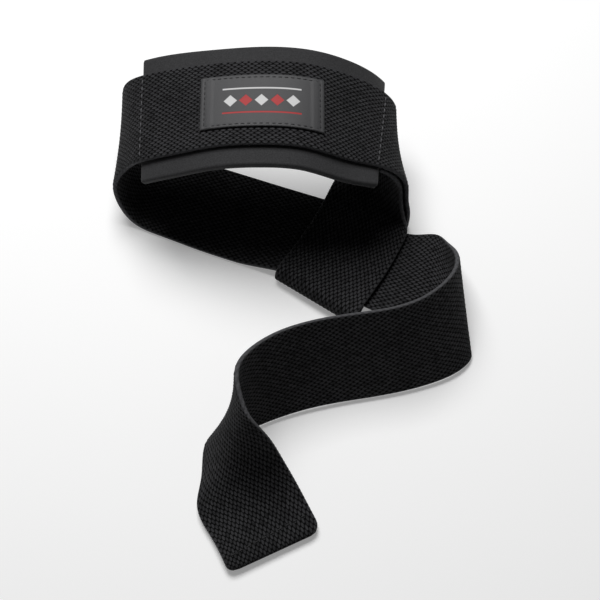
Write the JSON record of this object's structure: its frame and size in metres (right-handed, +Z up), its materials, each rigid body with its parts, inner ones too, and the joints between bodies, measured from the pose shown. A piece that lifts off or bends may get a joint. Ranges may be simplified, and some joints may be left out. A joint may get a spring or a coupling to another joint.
{
  "type": "weightlifting strap",
  "caption": "Wrist strap for lifting: webbing threaded through its own sewn eye into a padded loop, with a free end that wraps round a bar.",
  "frame": {"origin": "on the floor, under the place where the strap passes through its eye", "axes": "+X from the closed side of the wrist loop towards the curl of the tail, +Y along the wrist from the free end towards the loop, +Z up"},
  "size_m": [0.143, 0.2014, 0.0576],
  "materials": {
    "webbing": "matte black cotton webbing",
    "pad": "matte black foam rubber",
    "label": "satin black woven cloth"
  },
  "bodies": {
    "root": {"webbing_strap": "webbing", "wrist_pad": "pad", "label_patch": "label"}
  },
  "joints": []
}
